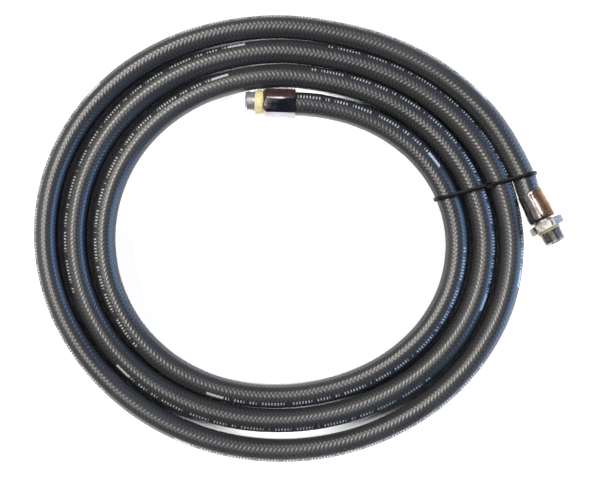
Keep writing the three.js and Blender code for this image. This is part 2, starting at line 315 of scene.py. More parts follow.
def speckle(tree, vector, scale, detail=3.0, rough=0.55, stretch=(1, 1, 1)):
    """Noise of about the given number of patches in a metre."""
    mapping = tree.nodes.new("ShaderNodeMapping")
    mapping.inputs["Scale"].default_value = stretch
    tree.links.new(vector, mapping.inputs["Vector"])
    noise = tree.nodes.new("ShaderNodeTexNoise")
    noise.inputs["Scale"].default_value = scale
    noise.inputs["Detail"].default_value = detail
    noise.inputs["Roughness"].default_value = rough
    tree.links.new(mapping.outputs[0], noise.inputs["Vector"])
    return noise.outputs["Fac"]


def object_place(tree):
    return tree.nodes.new("ShaderNodeTexCoord").outputs["Object"]


def bumped(tree, shader, height, depth, strength=1.0):
    """Relief of the given depth in metres."""
    bump = tree.nodes.new("ShaderNodeBump")
    bump.inputs["Strength"].default_value = strength
    bump.inputs["Distance"].default_value = depth
    tree.links.new(height, bump.inputs["Height"])
    tree.links.new(bump.outputs[0], shader.inputs["Normal"])


def herringbone_group():
    """Slanted strands in columns round the hose: each column leans the other way and is half a stitch on."""
    group = bpy.data.node_groups.new("herringbone", "ShaderNodeTree")
    for name, start in (("Along", 0), ("Round", 0), ("Stitch", stitch_length), ("Columns", stitch_columns)):
        socket = group.interface.new_socket(name, in_out="INPUT", socket_type="NodeSocketFloat")
        socket.default_value = start
    group.interface.new_socket("Height", in_out="OUTPUT", socket_type="NodeSocketFloat")
    inputs = group.nodes.new("NodeGroupInput").outputs
    outputs = group.nodes.new("NodeGroupOutput").inputs
    stitches = maths(group, "DIVIDE", inputs["Along"], inputs["Stitch"])
    columns = maths(group, "MULTIPLY", inputs["Round"], inputs["Columns"])
    across = maths(group, "FRACT", columns)
    odd = maths(group, "FLOORED_MODULO", maths(group, "FLOOR", columns), 2)
    lean = maths(group, "MULTIPLY_ADD", odd, -1.0, 0.5)
    slant = maths(group, "MULTIPLY", maths(group, "SUBTRACT", across, 0.5), lean)
    shifted = maths(group, "MULTIPLY_ADD", odd, 0.5, stitches)
    strand = maths(group, "FRACT", maths(group, "SUBTRACT", shifted, slant))
    ridge = maths(group, "SINE", maths(group, "MULTIPLY", strand, math.pi))
    ridge = maths(group, "POWER", ridge, 0.8)
    ends = maths(group, "SINE", maths(group, "MULTIPLY", across, math.pi))
    ends = maths(group, "POWER", ends, 0.6)
    height = maths(group, "MULTIPLY", ridge, maths(group, "MULTIPLY_ADD", ends, 0.65, 0.35))
    group.links.new(height, outputs["Height"])
    return group


herringbone = herringbone_group()


def strands(tree, stitch, columns):
    """The herringbone, read from the layer's own map, and the map's two coordinates."""
    place = tree.nodes.new("ShaderNodeUVMap")
    place.uv_map = "along_and_round"
    split = tree.nodes.new("ShaderNodeSeparateXYZ")
    tree.links.new(place.outputs[0], split.inputs[0])
    weave = tree.nodes.new("ShaderNodeGroup")
    weave.node_tree = herringbone
    tree.links.new(split.outputs["X"], weave.inputs["Along"])
    tree.links.new(split.outputs["Y"], weave.inputs["Round"])
    weave.inputs["Stitch"].default_value = stitch
    weave.inputs["Columns"].default_value = columns
    return weave.outputs["Height"], split.outputs["X"], split.outputs["Y"]


def lay_line(tree, along, round_hose):
    """Pale ink: a solid bar, then groups of small upright ticks, then a blank stretch, over and over."""
    period = 0.465
    first_bar = 0.214
    bar_length = 0.019
    row_length = 0.375
    tick_step = 0.0034
    tick_width = 0.40  # as a share of the step
    half_height = 0.0018
    groups = ((9, 7.5), (14, 12.5))  # steps from one blank to the next, and how many of them hold ticks
    from_bar = maths(tree, "FLOORED_MODULO", maths(tree, "SUBTRACT", first_bar, along), period)
    off_line = maths(tree, "SUBTRACT", round_hose, 0.5)
    off_line = maths(tree, "MULTIPLY", off_line, math.pi * hose_diameter)
    in_height = maths(tree, "LESS_THAN", maths(tree, "ABSOLUTE", off_line), half_height)
    bar = maths(tree, "LESS_THAN", from_bar, bar_length)
    steps = maths(tree, "DIVIDE", from_bar, tick_step)
    ticks = maths(tree, "COMPARE", maths(tree, "FRACT", steps), 0.5, tick_width / 2)
    for every, inked in groups:
        place = maths(tree, "FLOORED_MODULO", steps, every)
        ticks = maths(tree, "MULTIPLY", ticks, maths(tree, "LESS_THAN", place, inked))
    ticks = maths(tree, "MULTIPLY", ticks, maths(tree, "LESS_THAN", from_bar, row_length))
    return maths(tree, "MULTIPLY", maths(tree, "MAXIMUM", bar, ticks), in_height)


def cover_rubber():
    """Black rubber, dusty on its bumps, with worn ink."""
    clean = (0.009, 0.009, 0.010)
    dusty = (0.036, 0.035, 0.035)
    ink_colour = (0.42, 0.43, 0.44)
    relief_depth = 0.00021
    material, tree, shader = new_material("cover_rubber")
    height, along, round_hose = strands(tree, stitch_length, stitch_columns)
    place = object_place(tree)
    blotches = speckle(tree, place, 14, 4, 0.6)
    grain = speckle(tree, place, 900, 2, 0.5)
    patches = ramp(tree, blotches, 0.35, 0.7, 0.65, 1.0)
    dust = maths(tree, "MULTIPLY", ramp(tree, height, 0.1, 0.95), patches)
    rubber = mixed(tree, dust, clean, dusty)
    worn = ramp(tree, maths(tree, "ADD", height, maths(tree, "MULTIPLY", grain, 0.5)), 0.3, 0.8)
    worn = maths(tree, "MULTIPLY_ADD", worn, 0.3, 0.6)
    ink = maths(tree, "MULTIPLY", lay_line(tree, along, round_hose), worn)
    tree.links.new(mixed(tree, ink, rubber, ink_colour), shader.inputs["Base Color"])
    skin = maths(tree, "MULTIPLY_ADD", blotches, 0.10, 0.38)
    skin = maths(tree, "MULTIPLY_ADD", height, -0.16, skin)
    skin = maths(tree, "MULTIPLY_ADD", grain, 0.06, skin)
    skin = maths(tree, "MAXIMUM", skin, maths(tree, "MULTIPLY", ink, 0.6))
    tree.links.new(skin, shader.inputs["Roughness"])
    shader.inputs["Specular IOR Level"].default_value = 0.55
    bumped(tree, shader, maths(tree, "MULTIPLY_ADD", grain, 0.08, height), relief_depth)
    return material


hose_centres, hose_length = smooth_run(run, stitch_length / 2)
hose_centres[:, 2] = np.maximum(hose_centres[:, 2], hose_radius)
station = np.arange(len(hose_centres))[:, None]
side = np.arange(sides_in_column * stitch_columns)[None, :]
column, place_in_column = np.divmod(side, sides_in_column)
rise = np.where(place_in_column > 0, (station + column) % 2, low_side)
cover_radii = hose_radius - stitch_depth * (1 - rise)
hose_cover = hose_layer("cover", cover_radii, cover_inside, inner_step)
hose_cover.data.materials.append(cover_rubber())
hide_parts("hose_cover")
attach(hose_cover, "hose_assembly")


# ---- Wire braid -------------------------------------------------------------
# One braid of brass-coated steel wire under the cover, which takes the pressure. It stops inside both
# fittings, where they grip it through the rubber, so nothing of it shows.

braid_outside = 0.0118
braid_inside = 0.01135
hidden_sides = 24


def braid_wire():
    material, tree, shader = new_material("braid_wire")
    height, _, _ = strands(tree, stitch_length, stitch_columns)
    # Painted shade: the brass is darker down between the strands.
    brass_and_painted_shade = mixed(tree, height, (0.20, 0.15, 0.07), (0.62, 0.50, 0.26))
    tree.links.new(brass_and_painted_shade, shader.inputs["Base Color"])
    shader.inputs["Metallic"].default_value = 1
    tree.links.new(ramp(tree, height, 0, 1, 0.55, 0.3), shader.inputs["Roughness"])
    bumped(tree, shader, height, 0.0002)
    return material


cover_centres = hose_centres
hose_centres = np.concatenate([cover_centres[:-1:inner_step], cover_centres[-1:]])
braid_radii = np.full((len(hose_centres), hidden_sides), braid_outside)
braid = hose_layer("braid", braid_radii, braid_inside, 1)
braid.data.materials.append(braid_wire())
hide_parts("wire_braid")
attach(braid, "hose_assembly")


# ---- Inner tube -------------------------------------------------------------
# The smooth extruded tube of oil-resistant rubber that carries the fluid. The fittings' barbed tails are
# pushed into it at both ends.

tube_outside = 0.011
tube_inside = 0.0099


def plain_black(name, patches, dark, light):
    """Plain black rubber, a little cloudy."""
    material, tree, shader = new_material(name)
    cloudy = speckle(tree, object_place(tree), patches)
    tree.links.new(mixed(tree, cloudy, dark, light), shader.inputs["Base Color"])
    tree.links.new(ramp(tree, cloudy, 0.3, 0.7, 0.35, 0.5), shader.inputs["Roughness"])
    return material


tube_radii = np.full((len(hose_centres), hidden_sides), tube_outside)
inner_tube = hose_layer("liner", tube_radii, tube_inside, 1)
tube_rubber = plain_black("tube_rubber", 60, (0.010, 0.010, 0.010), (0.022, 0.022, 0.023))
inner_tube.data.materials.append(tube_rubber)
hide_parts("inner_tube")
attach(inner_tube, "hose_assembly")


# ---- Hexagonal socket -------------------------------------------------------
# A length of thirty-millimetre hexagonal steel bar, bored to go over the hose and plated bright. Its front
# corners are turned down, and its long edges are soft from polishing before it was plated.

socket_flats = 0.030
socket_length = 0.0363
socket_wall = 0.003
socket_roll = -7.5
pocket_radius = 0.0139
soft_edge = 0.0027
clearance = 0.0003


def turned(name, outline, sides=96):
    """A body turned about +Z. The outline is a closed list of (along the axis, radius)."""
    mesh = bpy.data.meshes.new(name)
    count = len(outline)
    mesh.from_pydata([(r, 0, z) for z, r in outline], [(i, (i + 1) % count) for i in range(count)], [])
    piece = bpy.data.objects.new(name, mesh)
    scene.collection.objects.link(piece)
    work_on(piece)
    bpy.ops.object.mode_set(mode="EDIT")
    bpy.ops.mesh.select_all(action="SELECT")
    bpy.ops.mesh.spin(steps=sides, angle=2 * math.pi, center=(0, 0, 0), axis=(0, 0, 1))
    bpy.ops.mesh.select_all(action="SELECT")
    bpy.ops.mesh.remove_doubles(threshold=1e-6)
    bpy.ops.mesh.normals_make_consistent(inside=False)
    bpy.ops.object.mode_set(mode="OBJECT")
    return piece


def work_on(piece):
    """Makes this the one piece that is selected and active."""
    bpy.ops.object.select_all(action="DESELECT")
    piece.select_set(True)
    bpy.context.view_layer.objects.active = piece


def hex_bar(name, flats, length, roll, edge):
    """A hexagonal bar along +Z with its six long edges rounded."""
    bpy.ops.mesh.primitive_cylinder_add(
        vertices=6, radius=flats / math.sqrt(3), depth=length, location=(0, 0, length / 2)
    )
    bar = bpy.context.object
    bar.name = name
    work_on(bar)
    bpy.ops.object.transform_apply(location=True, rotation=True, scale=True)
    bar.data.transform(Matrix.Rotation(math.radians(roll - 30), 4, "Z"))
    bpy.ops.object.mode_set(mode="EDIT")
    bpy.ops.mesh.select_mode(type="EDGE")
    bpy.ops.mesh.select_all(action="DESELECT")
    edges = bmesh.from_edit_mesh(bar.data)
    for e in edges.edges:
        e.select_set(abs(e.verts[0].co.z - e.verts[1].co.z) > length / 2)
    bpy.ops.mesh.bevel(offset=edge, segments=6)
    bpy.ops.object.mode_set(mode="OBJECT")
    return bar


def combine(piece, tool, operation):
    """Cuts, joins or trims a piece with another body, which is used up."""
    modifier = piece.modifiers.new("combine", "BOOLEAN")
    modifier.object = tool
    modifier.operation = operation
    modifier.solver = "EXACT"
    work_on(piece)
    bpy.ops.object.modifier_apply(modifier=modifier.name)
    bpy.data.objects.remove(tool)


def softened(piece, width, segments=2, angle=35):
    """Breaks every sharp edge and smooths what is round."""
    modifier = piece.modifiers.new("soft", "BEVEL")
    modifier.width = width
    modifier.segments = segments
    modifier.limit_method = "ANGLE"
    modifier.angle_limit = math.radians(angle)
    modifier.use_clamp_overlap = True
    work_on(piece)
    bpy.ops.object.modifier_apply(modifier=modifier.name)
    bpy.ops.object.shade_smooth_by_angle(angle=math.radians(30))


def fitting_frame(mouth, axis):
    """The place of a fitting that was made along +Z, with its first side level."""
    side = Vector((0, 0, 1)).cross(axis).normalized()
    up = axis.cross(side)
    return Matrix.Translation(mouth) @ Matrix((side, up, axis)).transposed().to_4x4()


def fit(piece, place, body, node, material):
    """Puts a finished piece in its place on its body, with its finish."""
    piece.data.transform(place)
    piece.data.materials.clear()
    piece.data.materials.append(material)
    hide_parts(node)
    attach(piece, body)


def plate_wear_group():
    """Bright plate with clouded patches and freckles of rust: how much of each shows at a place."""
    group = bpy.data.node_groups.new("plate_wear", "ShaderNodeTree")
    group.interface.new_socket("Place", in_out="INPUT", socket_type="NodeSocketVector")
    for name, start in (("Freckles", 0.5), ("Cloud", 0.5)):
        socket = group.interface.new_socket(name, in_out="INPUT", socket_type="NodeSocketFloat")
        socket.default_value = start
    for name in ("Rust", "Haze", "Scuff"):
        group.interface.new_socket(name, in_out="OUTPUT", socket_type="NodeSocketFloat")
    inputs = group.nodes.new("NodeGroupInput").outputs
    outputs = group.nodes.new("NodeGroupOutput").inputs
    patches = speckle(group, inputs["Place"], 130, 3, 0.6)
    freckles = speckle(group, inputs["Place"], 900, 4, 0.75)
    scuff = speckle(group, inputs["Place"], 2600, 2, 0.6)
    reach = ramp(group, patches, 0.42, 0.62)
    more_in_patches = maths(group, "MULTIPLY_ADD", reach, 0.16, freckles)
    spots = ramp(group, more_in_patches, 0.56, 0.66)
    group.links.new(maths(group, "MULTIPLY", spots, inputs["Freckles"]), outputs["Rust"])
    group.links.new(maths(group, "MULTIPLY", reach, inputs["Cloud"]), outputs["Haze"])
    group.links.new(scuff, outputs["Scuff"])
    return group


plate_wear = plate_wear_group()


def toward(tree, place, point, direction, start, end):
    """How far a place lies from a point in a direction, as a share of the way from start to end."""
    offset = tree.nodes.new("ShaderNodeVectorMath")
    offset.operation = "SUBTRACT"
    tree.links.new(place, offset.inputs[0])
    offset.inputs[1].default_value = point
    reach = tree.nodes.new("ShaderNodeVectorMath")
    reach.operation = "DOT_PRODUCT"
    tree.links.new(offset.outputs[0], reach.inputs[0])
    reach.inputs[1].default_value = direction
    return ramp(tree, reach.outputs["Value"], start, end)


def bright_plate(name, freckles, cloud, tint, gloss, rust_and_reflection_side, rust_and_reflection_until, rust_and_reflection_colour, side_is_rust=True):
    """Plated steel: bright, clouded, freckled with rust, and tinted on the side given: a matte rust film where
    side_is_rust is set, and a metallic painted reflection where it is not.
    """
    rust_colour = (0.17, 0.085, 0.035)
    rust_and_reflection_edge = 0.001
    material, tree, shader = new_material(name)
    place = object_place(tree)
    wear = tree.nodes.new("ShaderNodeGroup")
    wear.node_tree = plate_wear
    tree.links.new(place, wear.inputs["Place"])
    wear.inputs["Freckles"].default_value = freckles
    wear.inputs["Cloud"].default_value = cloud
    rust = wear.outputs["Rust"]
    colour = mixed(tree, wear.outputs["Haze"], tint, tuple(0.72 * x for x in tint))
    colour = mixed(tree, rust, colour, rust_colour)
    mottle = ramp(tree, speckle(tree, place, 700, 4, 0.7), 0.35, 0.6, 0.55, 1.0)
    # The side tint: a rust film on some parts, a painted reflection on others.
    point, direction = rust_and_reflection_side[:2]
    beyond = toward(tree, place, point, direction, rust_and_reflection_until, rust_and_reflection_until + rust_and_reflection_edge)
    rust_and_reflection = maths(tree, "MULTIPLY", toward(tree, place, *rust_and_reflection_side), mottle)
    rust_and_reflection = maths(tree, "MULTIPLY", rust_and_reflection, maths(tree, "SUBTRACT", 1.0, beyond))
    grains = ramp(tree, speckle(tree, place, 620, 4, 0.75), 0.42, 0.60)
    grained = mixed(tree, grains, tuple(0.12 * x for x in rust_and_reflection_colour), rust_and_reflection_colour)
    colour = mixed(tree, rust_and_reflection, colour, grained)
    if side_is_rust:
        rust = maths(tree, "MAXIMUM", rust, rust_and_reflection)
    tree.links.new(colour, shader.inputs["Base Color"])
    tree.links.new(maths(tree, "MULTIPLY_ADD", rust, -0.75, 1.0), shader.inputs["Metallic"])
    rough = maths(tree, "MULTIPLY_ADD", wear.outputs["Haze"], 0.10, gloss)
    rough = maths(tree, "MULTIPLY_ADD", rust, 0.35, rough)
    rough = maths(tree, "MULTIPLY_ADD", wear.outputs["Scuff"], 0.06, rough)
    tree.links.new(rough, shader.inputs["Roughness"])
    relief = maths(tree, "SUBTRACT", wear.outputs["Scuff"], wear.outputs["Rust"])
    bumped(tree, shader, relief, 0.00003, 0.6)
    return material


socket_place = fitting_frame(socket_mouth, socket_axis)
socket_corner = socket_flats / math.sqrt(3)
socket_face = socket_flats / 2 - 0.0006

socket = hex_bar("socket", socket_flats, socket_length, socket_roll, soft_edge)
combine(socket, turned("socket_ends", [
    (0, 0), (0, socket_corner - 0.0016), (0.0009, socket_corner + 0.0002),
    (socket_length - 0.0046, socket_corner + 0.0002), (socket_length - 0.0014, socket_face + 0.0007),
    (socket_length, socket_face - 0.0005), (socket_length, 0),
]), "INTERSECT")
combine(socket, turned("socket_pocket", [
    (-0.001, 0), (-0.001, pocket_radius), (socket_length - socket_wall, pocket_radius),
    (socket_length - socket_wall, 0.010), (socket_length + 0.001, 0.010), (socket_length + 0.001, 0),
]), "DIFFERENCE")
softened(socket, 0.0003)
brown_side = (tuple(socket_mouth), (0, 1, 0), 0.0055, 0.0080)
socket_plate = bright_plate(
    "socket_plate", 0.3, 0.4, (0.26, 0.25, 0.29), 0.06, brown_side, 0.020, (0.27, 0.13, 0.09)
)
fit(socket, socket_place, "hose_assembly", "hex_socket", socket_plate)


# ---- Fixed nipple -----------------------------------------------------------
# The male end that is screwed in first. It is turned from steel bar in one piece: a barbed tail inside the
# hose, a neck through the socket, and a three-quarter inch taper thread of fourteen turns to the inch.

thread_radius = 0.0132
thread_taper = 1 / 32
thread_pitch = 0.0254 / 14
thread_depth = 0.0008
thread_chamfer = 0.002
nipple_bore = 0.007
fixed_thread_length = 0.0204
tail_radius = 0.00875
tail_valley = 0.0083
tail_start = 0.003


def tail(start, end):
    """The barbed tail that the hose is pushed over."""
    barbs = 4
    pitch = (end - start - 0.004) / barbs
    outline = [(start, tail_valley)]
    for i in range(barbs):
        outline += [(start + pitch * (i + 0.75), tail_radius), (start + pitch * (i + 0.85), tail_valley)]
    return outline + [(end, tail_valley)]


def thread_outline(start, length):
    """The taper with enough points along it for the thread to be cut into."""
    rows = round(length / thread_pitch * 8)
    outline = []
    for i in range(rows + 1):
        along = length * i / rows
        radius = thread_radius - min(along, length - thread_chamfer) * thread_taper
        radius -= 0.0017 * max(0, along - length + thread_chamfer) / thread_chamfer
        outline.append((start + along, radius))
    return outline


def set_radius(vertex, wanted):
    """Moves a point in or out to the wanted distance from the Z axis."""
    share = wanted / math.hypot(vertex.co.x, vertex.co.y)
    vertex.co.x *= share
    vertex.co.y *= share


def cut_thread(piece, start, length):
    """Cuts the screw thread into the taper, running in from the tip and out at the shoulder."""
    core = 0.0105
    flat = 0.12  # of the crest and of the root, as a share of half a turn
    for vertex in piece.data.vertices:
        x, y, z = vertex.co
        radius = math.hypot(x, y)
        along = z - start
        if radius < core or not 0 < along < length:
            continue
        phase = (along / thread_pitch - math.atan2(y, x) / (2 * math.pi)) % 1
        groove = 1 - abs(2 * phase - 1)
        groove = min(max((groove - flat) / (1 - 2 * flat), 0), 1)
        fade = min(along / thread_pitch, (length - along) / (1.2 * thread_pitch), 1)
        set_radius(vertex, max(radius - thread_depth * groove * fade, core))


def steel_turned(name):
    """Zinc-bright turned steel: fine rings from the tool, a little dull."""
    material, tree, shader = new_material(name)
    place = object_place(tree)
    cloudy = speckle(tree, place, 220, 3, 0.6)
    fine = speckle(tree, place, 3000, 2, 0.6)
    steel = mixed(tree, ramp(tree, cloudy, 0.4, 0.7), (0.84, 0.83, 0.81), (0.58, 0.55, 0.51))
    tree.links.new(steel, shader.inputs["Base Color"])
    shader.inputs["Metallic"].default_value = 0.65
    tree.links.new(maths(tree, "MULTIPLY_ADD", cloudy, 0.2, 0.14), shader.inputs["Roughness"])
    bumped(tree, shader, fine, 0.00003, 0.7)
    return material


shoulder = socket_length + clearance
nipple_tip = shoulder + fixed_thread_length
nipple = turned("nipple", [
    *tail(tail_start, socket_length - socket_wall),
    (socket_length - socket_wall, 0.0096), (shoulder, 0.0096),
    *thread_outline(shoulder, fixed_thread_length),
    (nipple_tip, nipple_bore), (tail_start, nipple_bore),
])
cut_thread(nipple, shoulder, fixed_thread_length)
softened(nipple, 0.0002, 1, 50)
nipple_steel = steel_turned("nipple_steel")
fit(nipple, socket_place, "hose_assembly", "fixed_nipple", nipple_steel)


# ---- Seal tape on the fixed thread ------------------------------------------
# A few turns of cream thread tape, wound on by hand over the thick half of the thread. Its edges overlap
# unevenly and the thread underneath shows through it as soft ridges.

tape_start = socket_length + 2 * clearance
tape_length = 0.009


def tape_band(name, start, length, thickness, seed):
    """A wound band: ridged by the thread below it, lumpy, with ragged edges."""
    inside = thread_radius + 0.0001
    outside = thread_radius + clearance + thickness
    ridge_depth = 0.00016
    lump_depth = 0.00012
    edge_wander = 0.00035
    rows = 28
    outline = [(start, inside)]
    for i in range(rows + 1):
        share = i / rows
        shape = 1 - 0.35 * abs(2 * share - 1) ** 4
        outline.append((start + length * share, inside + (outside - inside) * shape))
    outline.append((start + length, inside))
    band = turned(name, outline)
    for vertex in band.data.vertices:
        x, y, z = vertex.co
        radius = math.hypot(x, y)
        if radius < inside + 0.00005:
            continue
        around = math.atan2(y, x)
        share = (z - start) / length
        ridge = 0.5 + 0.5 * math.cos(2 * math.pi * ((z - start) / thread_pitch) - around)
        lump = math.sin(3 * around + seed + 5 * share) * math.sin(7 * around + 2 * seed + 9 * share)
        set_radius(vertex, radius - ridge_depth * ridge - lump_depth * (1 + lump))
        edge = abs(2 * share - 1) ** 6 * math.copysign(1, share - 0.5)
        vertex.co.z += edge * edge_wander * math.sin(5 * around + 3 * seed)
    softened(band, 0.0001, 1, 60)
    return band


def tape_film(name, colour, stain):
    """Thread tape: a dull film with stains, and fine fibres along its turns."""
    material, tree, shader = new_material(name)
    place = object_place(tree)
    cloudy = speckle(tree, place, 260, 4, 0.65)
    fibres = speckle(tree, place, 1500, 3, 0.6, (1, 1, 3))
    stained = mixed(tree, ramp(tree, cloudy, 0.42, 0.68), colour, stain)
    tree.links.new(stained, shader.inputs["Base Color"])
    tree.links.new(ramp(tree, fibres, 0.3, 0.7, 0.38, 0.6), shader.inputs["Roughness"])
    bumped(tree, shader, maths(tree, "ADD", fibres, cloudy), 0.00012, 0.8)
    return material


fixed_tape = tape_band("tape_fixed_end", tape_start, tape_length, 0.00055, 1.3)
cream_tape = tape_film("cream_tape", (0.62, 0.52, 0.27), (0.46, 0.35, 0.14))
fit(fixed_tape, socket_place, "hose_assembly", "fixed_thread_tape", cream_tape)


# ---- Crimped ferrule --------------------------------------------------------
# A plated steel sleeve pressed down over the hose by eight dies, which leave eight shallow flats. It swells
# from the hose's diameter at its mouth to a rounded head.

ferrule_length = 0.0346
ferrule_mouth = 0.0145
ferrule_head = 0.0166
ferrule_wall = 0.003
crimp_start = 0.007
crimp_end = 0.0285
crimp_depth = 0.00018
crimp_fade = 0.003
dies = 8
ferrule_rows = 24
lip = 0.0006
above_lip = ferrule_mouth + 0.0002

ferrule_inner = ferrule_length - ferrule_wall
ferrule_outline = [(0, pocket_radius + 0.0001), (0, ferrule_mouth - 0.00025), (lip, ferrule_mouth)]
for i in range(1, ferrule_rows + 1):
    along = lip + (ferrule_length - 0.003 - lip) * i / ferrule_rows
    swell = smooth((along - 0.004) / (ferrule_length - 0.010))
    ferrule_outline.append((along, above_lip + (ferrule_head - above_lip) * swell))
ferrule_outline += [
    (ferrule_length - 0.0018, ferrule_head - 0.00012), (ferrule_length - 0.001, ferrule_head - 0.0004),
    (ferrule_length - 0.0004, ferrule_head - 0.0009), (ferrule_length, ferrule_head - 0.0016),
    (ferrule_length, 0.0099), (ferrule_inner, 0.0099), (ferrule_inner, pocket_radius + 0.0001),
]
ferrule = turned("ferrule", ferrule_outline, 128)
for vertex in ferrule.data.vertices:
    x, y, z = vertex.co
    radius = math.hypot(x, y)
    if radius < pocket_radius + 0.0003:
        continue
    pressed = smooth((z - crimp_start) / crimp_fade) * smooth((crimp_end - z) / crimp_fade)
    flat = 0.5 + 0.5 * math.cos(dies * math.atan2(y, x) + 0.6)
    set_radius(vertex, radius - crimp_depth * pressed * flat)
softened(ferrule, 0.0002, 2, 50)
swivel_place = fitting_frame(swivel_mouth, swivel_axis)
level_side = Vector((0, 0, 1)).cross(swivel_axis).normalized()
golden_side = (tuple(swivel_mouth), tuple(level_side), 0.0005, 0.0030)
ferrule_plate = bright_plate(
    "ferrule_plate", 0.4, 0.6, (0.34, 0.32, 0.31), 0.07, golden_side, 0.0122, (0.40, 0.17, 0.03)
)
fit(ferrule, swivel_place, "hose_assembly", "crimp_ferrule", ferrule_plate)


# ---- Swivel stem ------------------------------------------------------------
# The turned steel core of the swivel end: a barbed tail in the hose, a collar against the ferrule, and a
# nose that runs inside the swivel body. Only the collar's edge shows, so the design's own shape is kept.

design = frame["nodes"]


def finish(node_name, material):
    """Gives one of the design's own shapes its finish."""
    node = design[node_name]
    node.data.materials.clear()
    node.data.materials.append(material)


stem_steel = steel_turned("stem_steel")
finish("swivel_stem", stem_steel)


# ---- Thrust washer ----------------------------------------------------------
# A thin steel ring between the stem's collar and the hexagon, which the hexagon turns against.

collar_end = ferrule_length + clearance + 0.0012
washer_start = collar_end + clearance
washer_end = washer_start + 0.001
washer = turned("washer", [
    (washer_start, 0.01025), (washer_start, 0.0134), (washer_end, 0.0134), (washer_end, 0.01025),
])
softened(washer, 0.0002)
washer_steel = steel_turned("washer_steel")
fit(washer, swivel_place, "hose_assembly", "thrust_washer", washer_steel)


# ---- Swivel body ------------------------------------------------------------
# The part that screws into the port: a short thirty-six millimetre hexagon with a taper thread in front,
# plated bright. It turns on the stem without end.

swivel_flats = 0.036
swivel_hex_length = 0.0088
swivel_roll = 16
swivel_thread_length = 0.018
swivel_bore = 0.01025
swivel_port = 0.0075
ring_groove_radius = 0.01125

hex_start = washer_end + clearance
hex_end = hex_start + swivel_hex_length
swivel_tip = hex_end + swivel_thread_length
nose_end = hex_end + 0.006
ring_place = hex_start + 0.0032
ring_half = 0.0012
swivel_corner = swivel_flats / math.sqrt(3)
swivel_chamfered = swivel_corner - 0.0015

swivel = hex_bar("swivel", swivel_flats, swivel_hex_length, swivel_roll, 0.0012)
combine(swivel, turned("swivel_ends", [
    (0, 0), (0, swivel_chamfered), (0.001, swivel_corner + 0.0001),
    (swivel_hex_length - 0.001, swivel_corner + 0.0001), (swivel_hex_length, swivel_chamfered),
    (swivel_hex_length, 0),
]), "INTERSECT")
swivel.data.transform(Matrix.Translation((0, 0, hex_start)))
spigot_taper = thread_outline(hex_end - 0.001, swivel_thread_length + 0.001)
spigot = turned("spigot", [(hex_start + 0.001, 0), *spigot_taper, (swivel_tip, 0)])
cut_thread(spigot, hex_end + 0.0002, swivel_thread_length - 0.0002)
combine(swivel, spigot, "UNION")
combine(swivel, turned("swivel_hole", [
    (hex_start - 0.001, 0), (hex_start - 0.001, swivel_bore),
    (ring_place - ring_half, swivel_bore), (ring_place - ring_half, ring_groove_radius),
    (ring_place + ring_half, ring_groove_radius), (ring_place + ring_half, swivel_bore),
    (nose_end + 0.0005, swivel_bore), (nose_end + 0.0005, swivel_port),
    (swivel_tip + 0.001, swivel_port), (swivel_tip + 0.001, 0),
]), "DIFFERENCE")
softened(swivel, 0.0002, 1, 50)
# A bluish metallic tint down the swivel's side toward the cool window: a painted reflection of that window.
painted_blue_reflection_side = (tuple(swivel_mouth), tuple(level_side), 0.006, 0.009)
swivel_plate = bright_plate(
    "swivel_plate", 0.2, 0.5, (0.40, 0.385, 0.365), 0.18, painted_blue_reflection_side, 0.030, (0.14, 0.19, 0.30), False
)
fit(swivel, swivel_place, "swivel_end", "swivel_body", swivel_plate)


# ---- Seal tape on the swivel's thread ---------------------------------------
# What is left of an older turn of tape at the neck of the thread, yellowed and rubbed thin.

worn_tape = tape_band("tape_swivel_end", hex_end + clearance, 0.0024, 0.00035, 4.1)
old_tape = tape_film("old_tape", (0.46, 0.37, 0.20), (0.26, 0.17, 0.06))
fit(worn_tape, swivel_place, "swivel_end", "swivel_thread_tape", old_tape)


# ---- Retaining ring and O-rings ---------------------------------------------
# Inside the swivel: a round-wire ring in two grooves holds the body on the stem, and two rubber rings seal
# it. They are out of sight and keep the design's own shapes.

seal_rubber = plain_black("seal_rubber", 400, (0.008, 0.008, 0.008), (0.020, 0.020, 0.020))
finish("retaining_ring", stem_steel)
finish("rear_o_ring", seal_rubber)
finish("front_o_ring", seal_rubber)


# ---- Cable tie --------------------------------------------------------------
# One black nylon tie pulled round all four passes of the hose beside the swivel end. The strap is flat with
# fine cross ribs; its head sits on top, with the cut end of the strap standing out of it.

strap_width = 0.0048
strap_thickness = 0.00125
strap_clearance = 0.0007
rib_height = 0.00012
rib_step = 0.0012
slack_at_ends = 0.0008
head_length = 0.0075
head_width = 0.0076
head_height = 0.005

tie_near = radius_at(start_heading - tie_heading)
tie_far = Vector(run_point(start_heading - tie_heading + 3 * full_turn)[:2]).length
tie_height = hose_radius + tie_lift
tie_inside = hose_radius + strap_clearance


def strap_path():
    """The loop's inner line in the tie's upright plane, with the way out of it at each point."""
    left = tie_near - slack_at_ends
    right = tie_far + slack_at_ends
    path = []
    arc_steps = 28
    flat_steps = round((right - left) / rib_step)
    for middle, other, first_turn, side in ((right, left, -math.pi / 2, 1), (left, right, math.pi / 2, -1)):
        for i in range(arc_steps + 1):
            turn = math.pi * i / arc_steps + first_turn
            way = (math.cos(turn), math.sin(turn))
            path.append((middle + tie_inside * way[0], tie_height + tie_inside * way[1], *way))
        for i in range(1, flat_steps):
            along = middle + (other - middle) * i / flat_steps
            path.append((along, tie_height + side * tie_inside, 0, side))
    return path


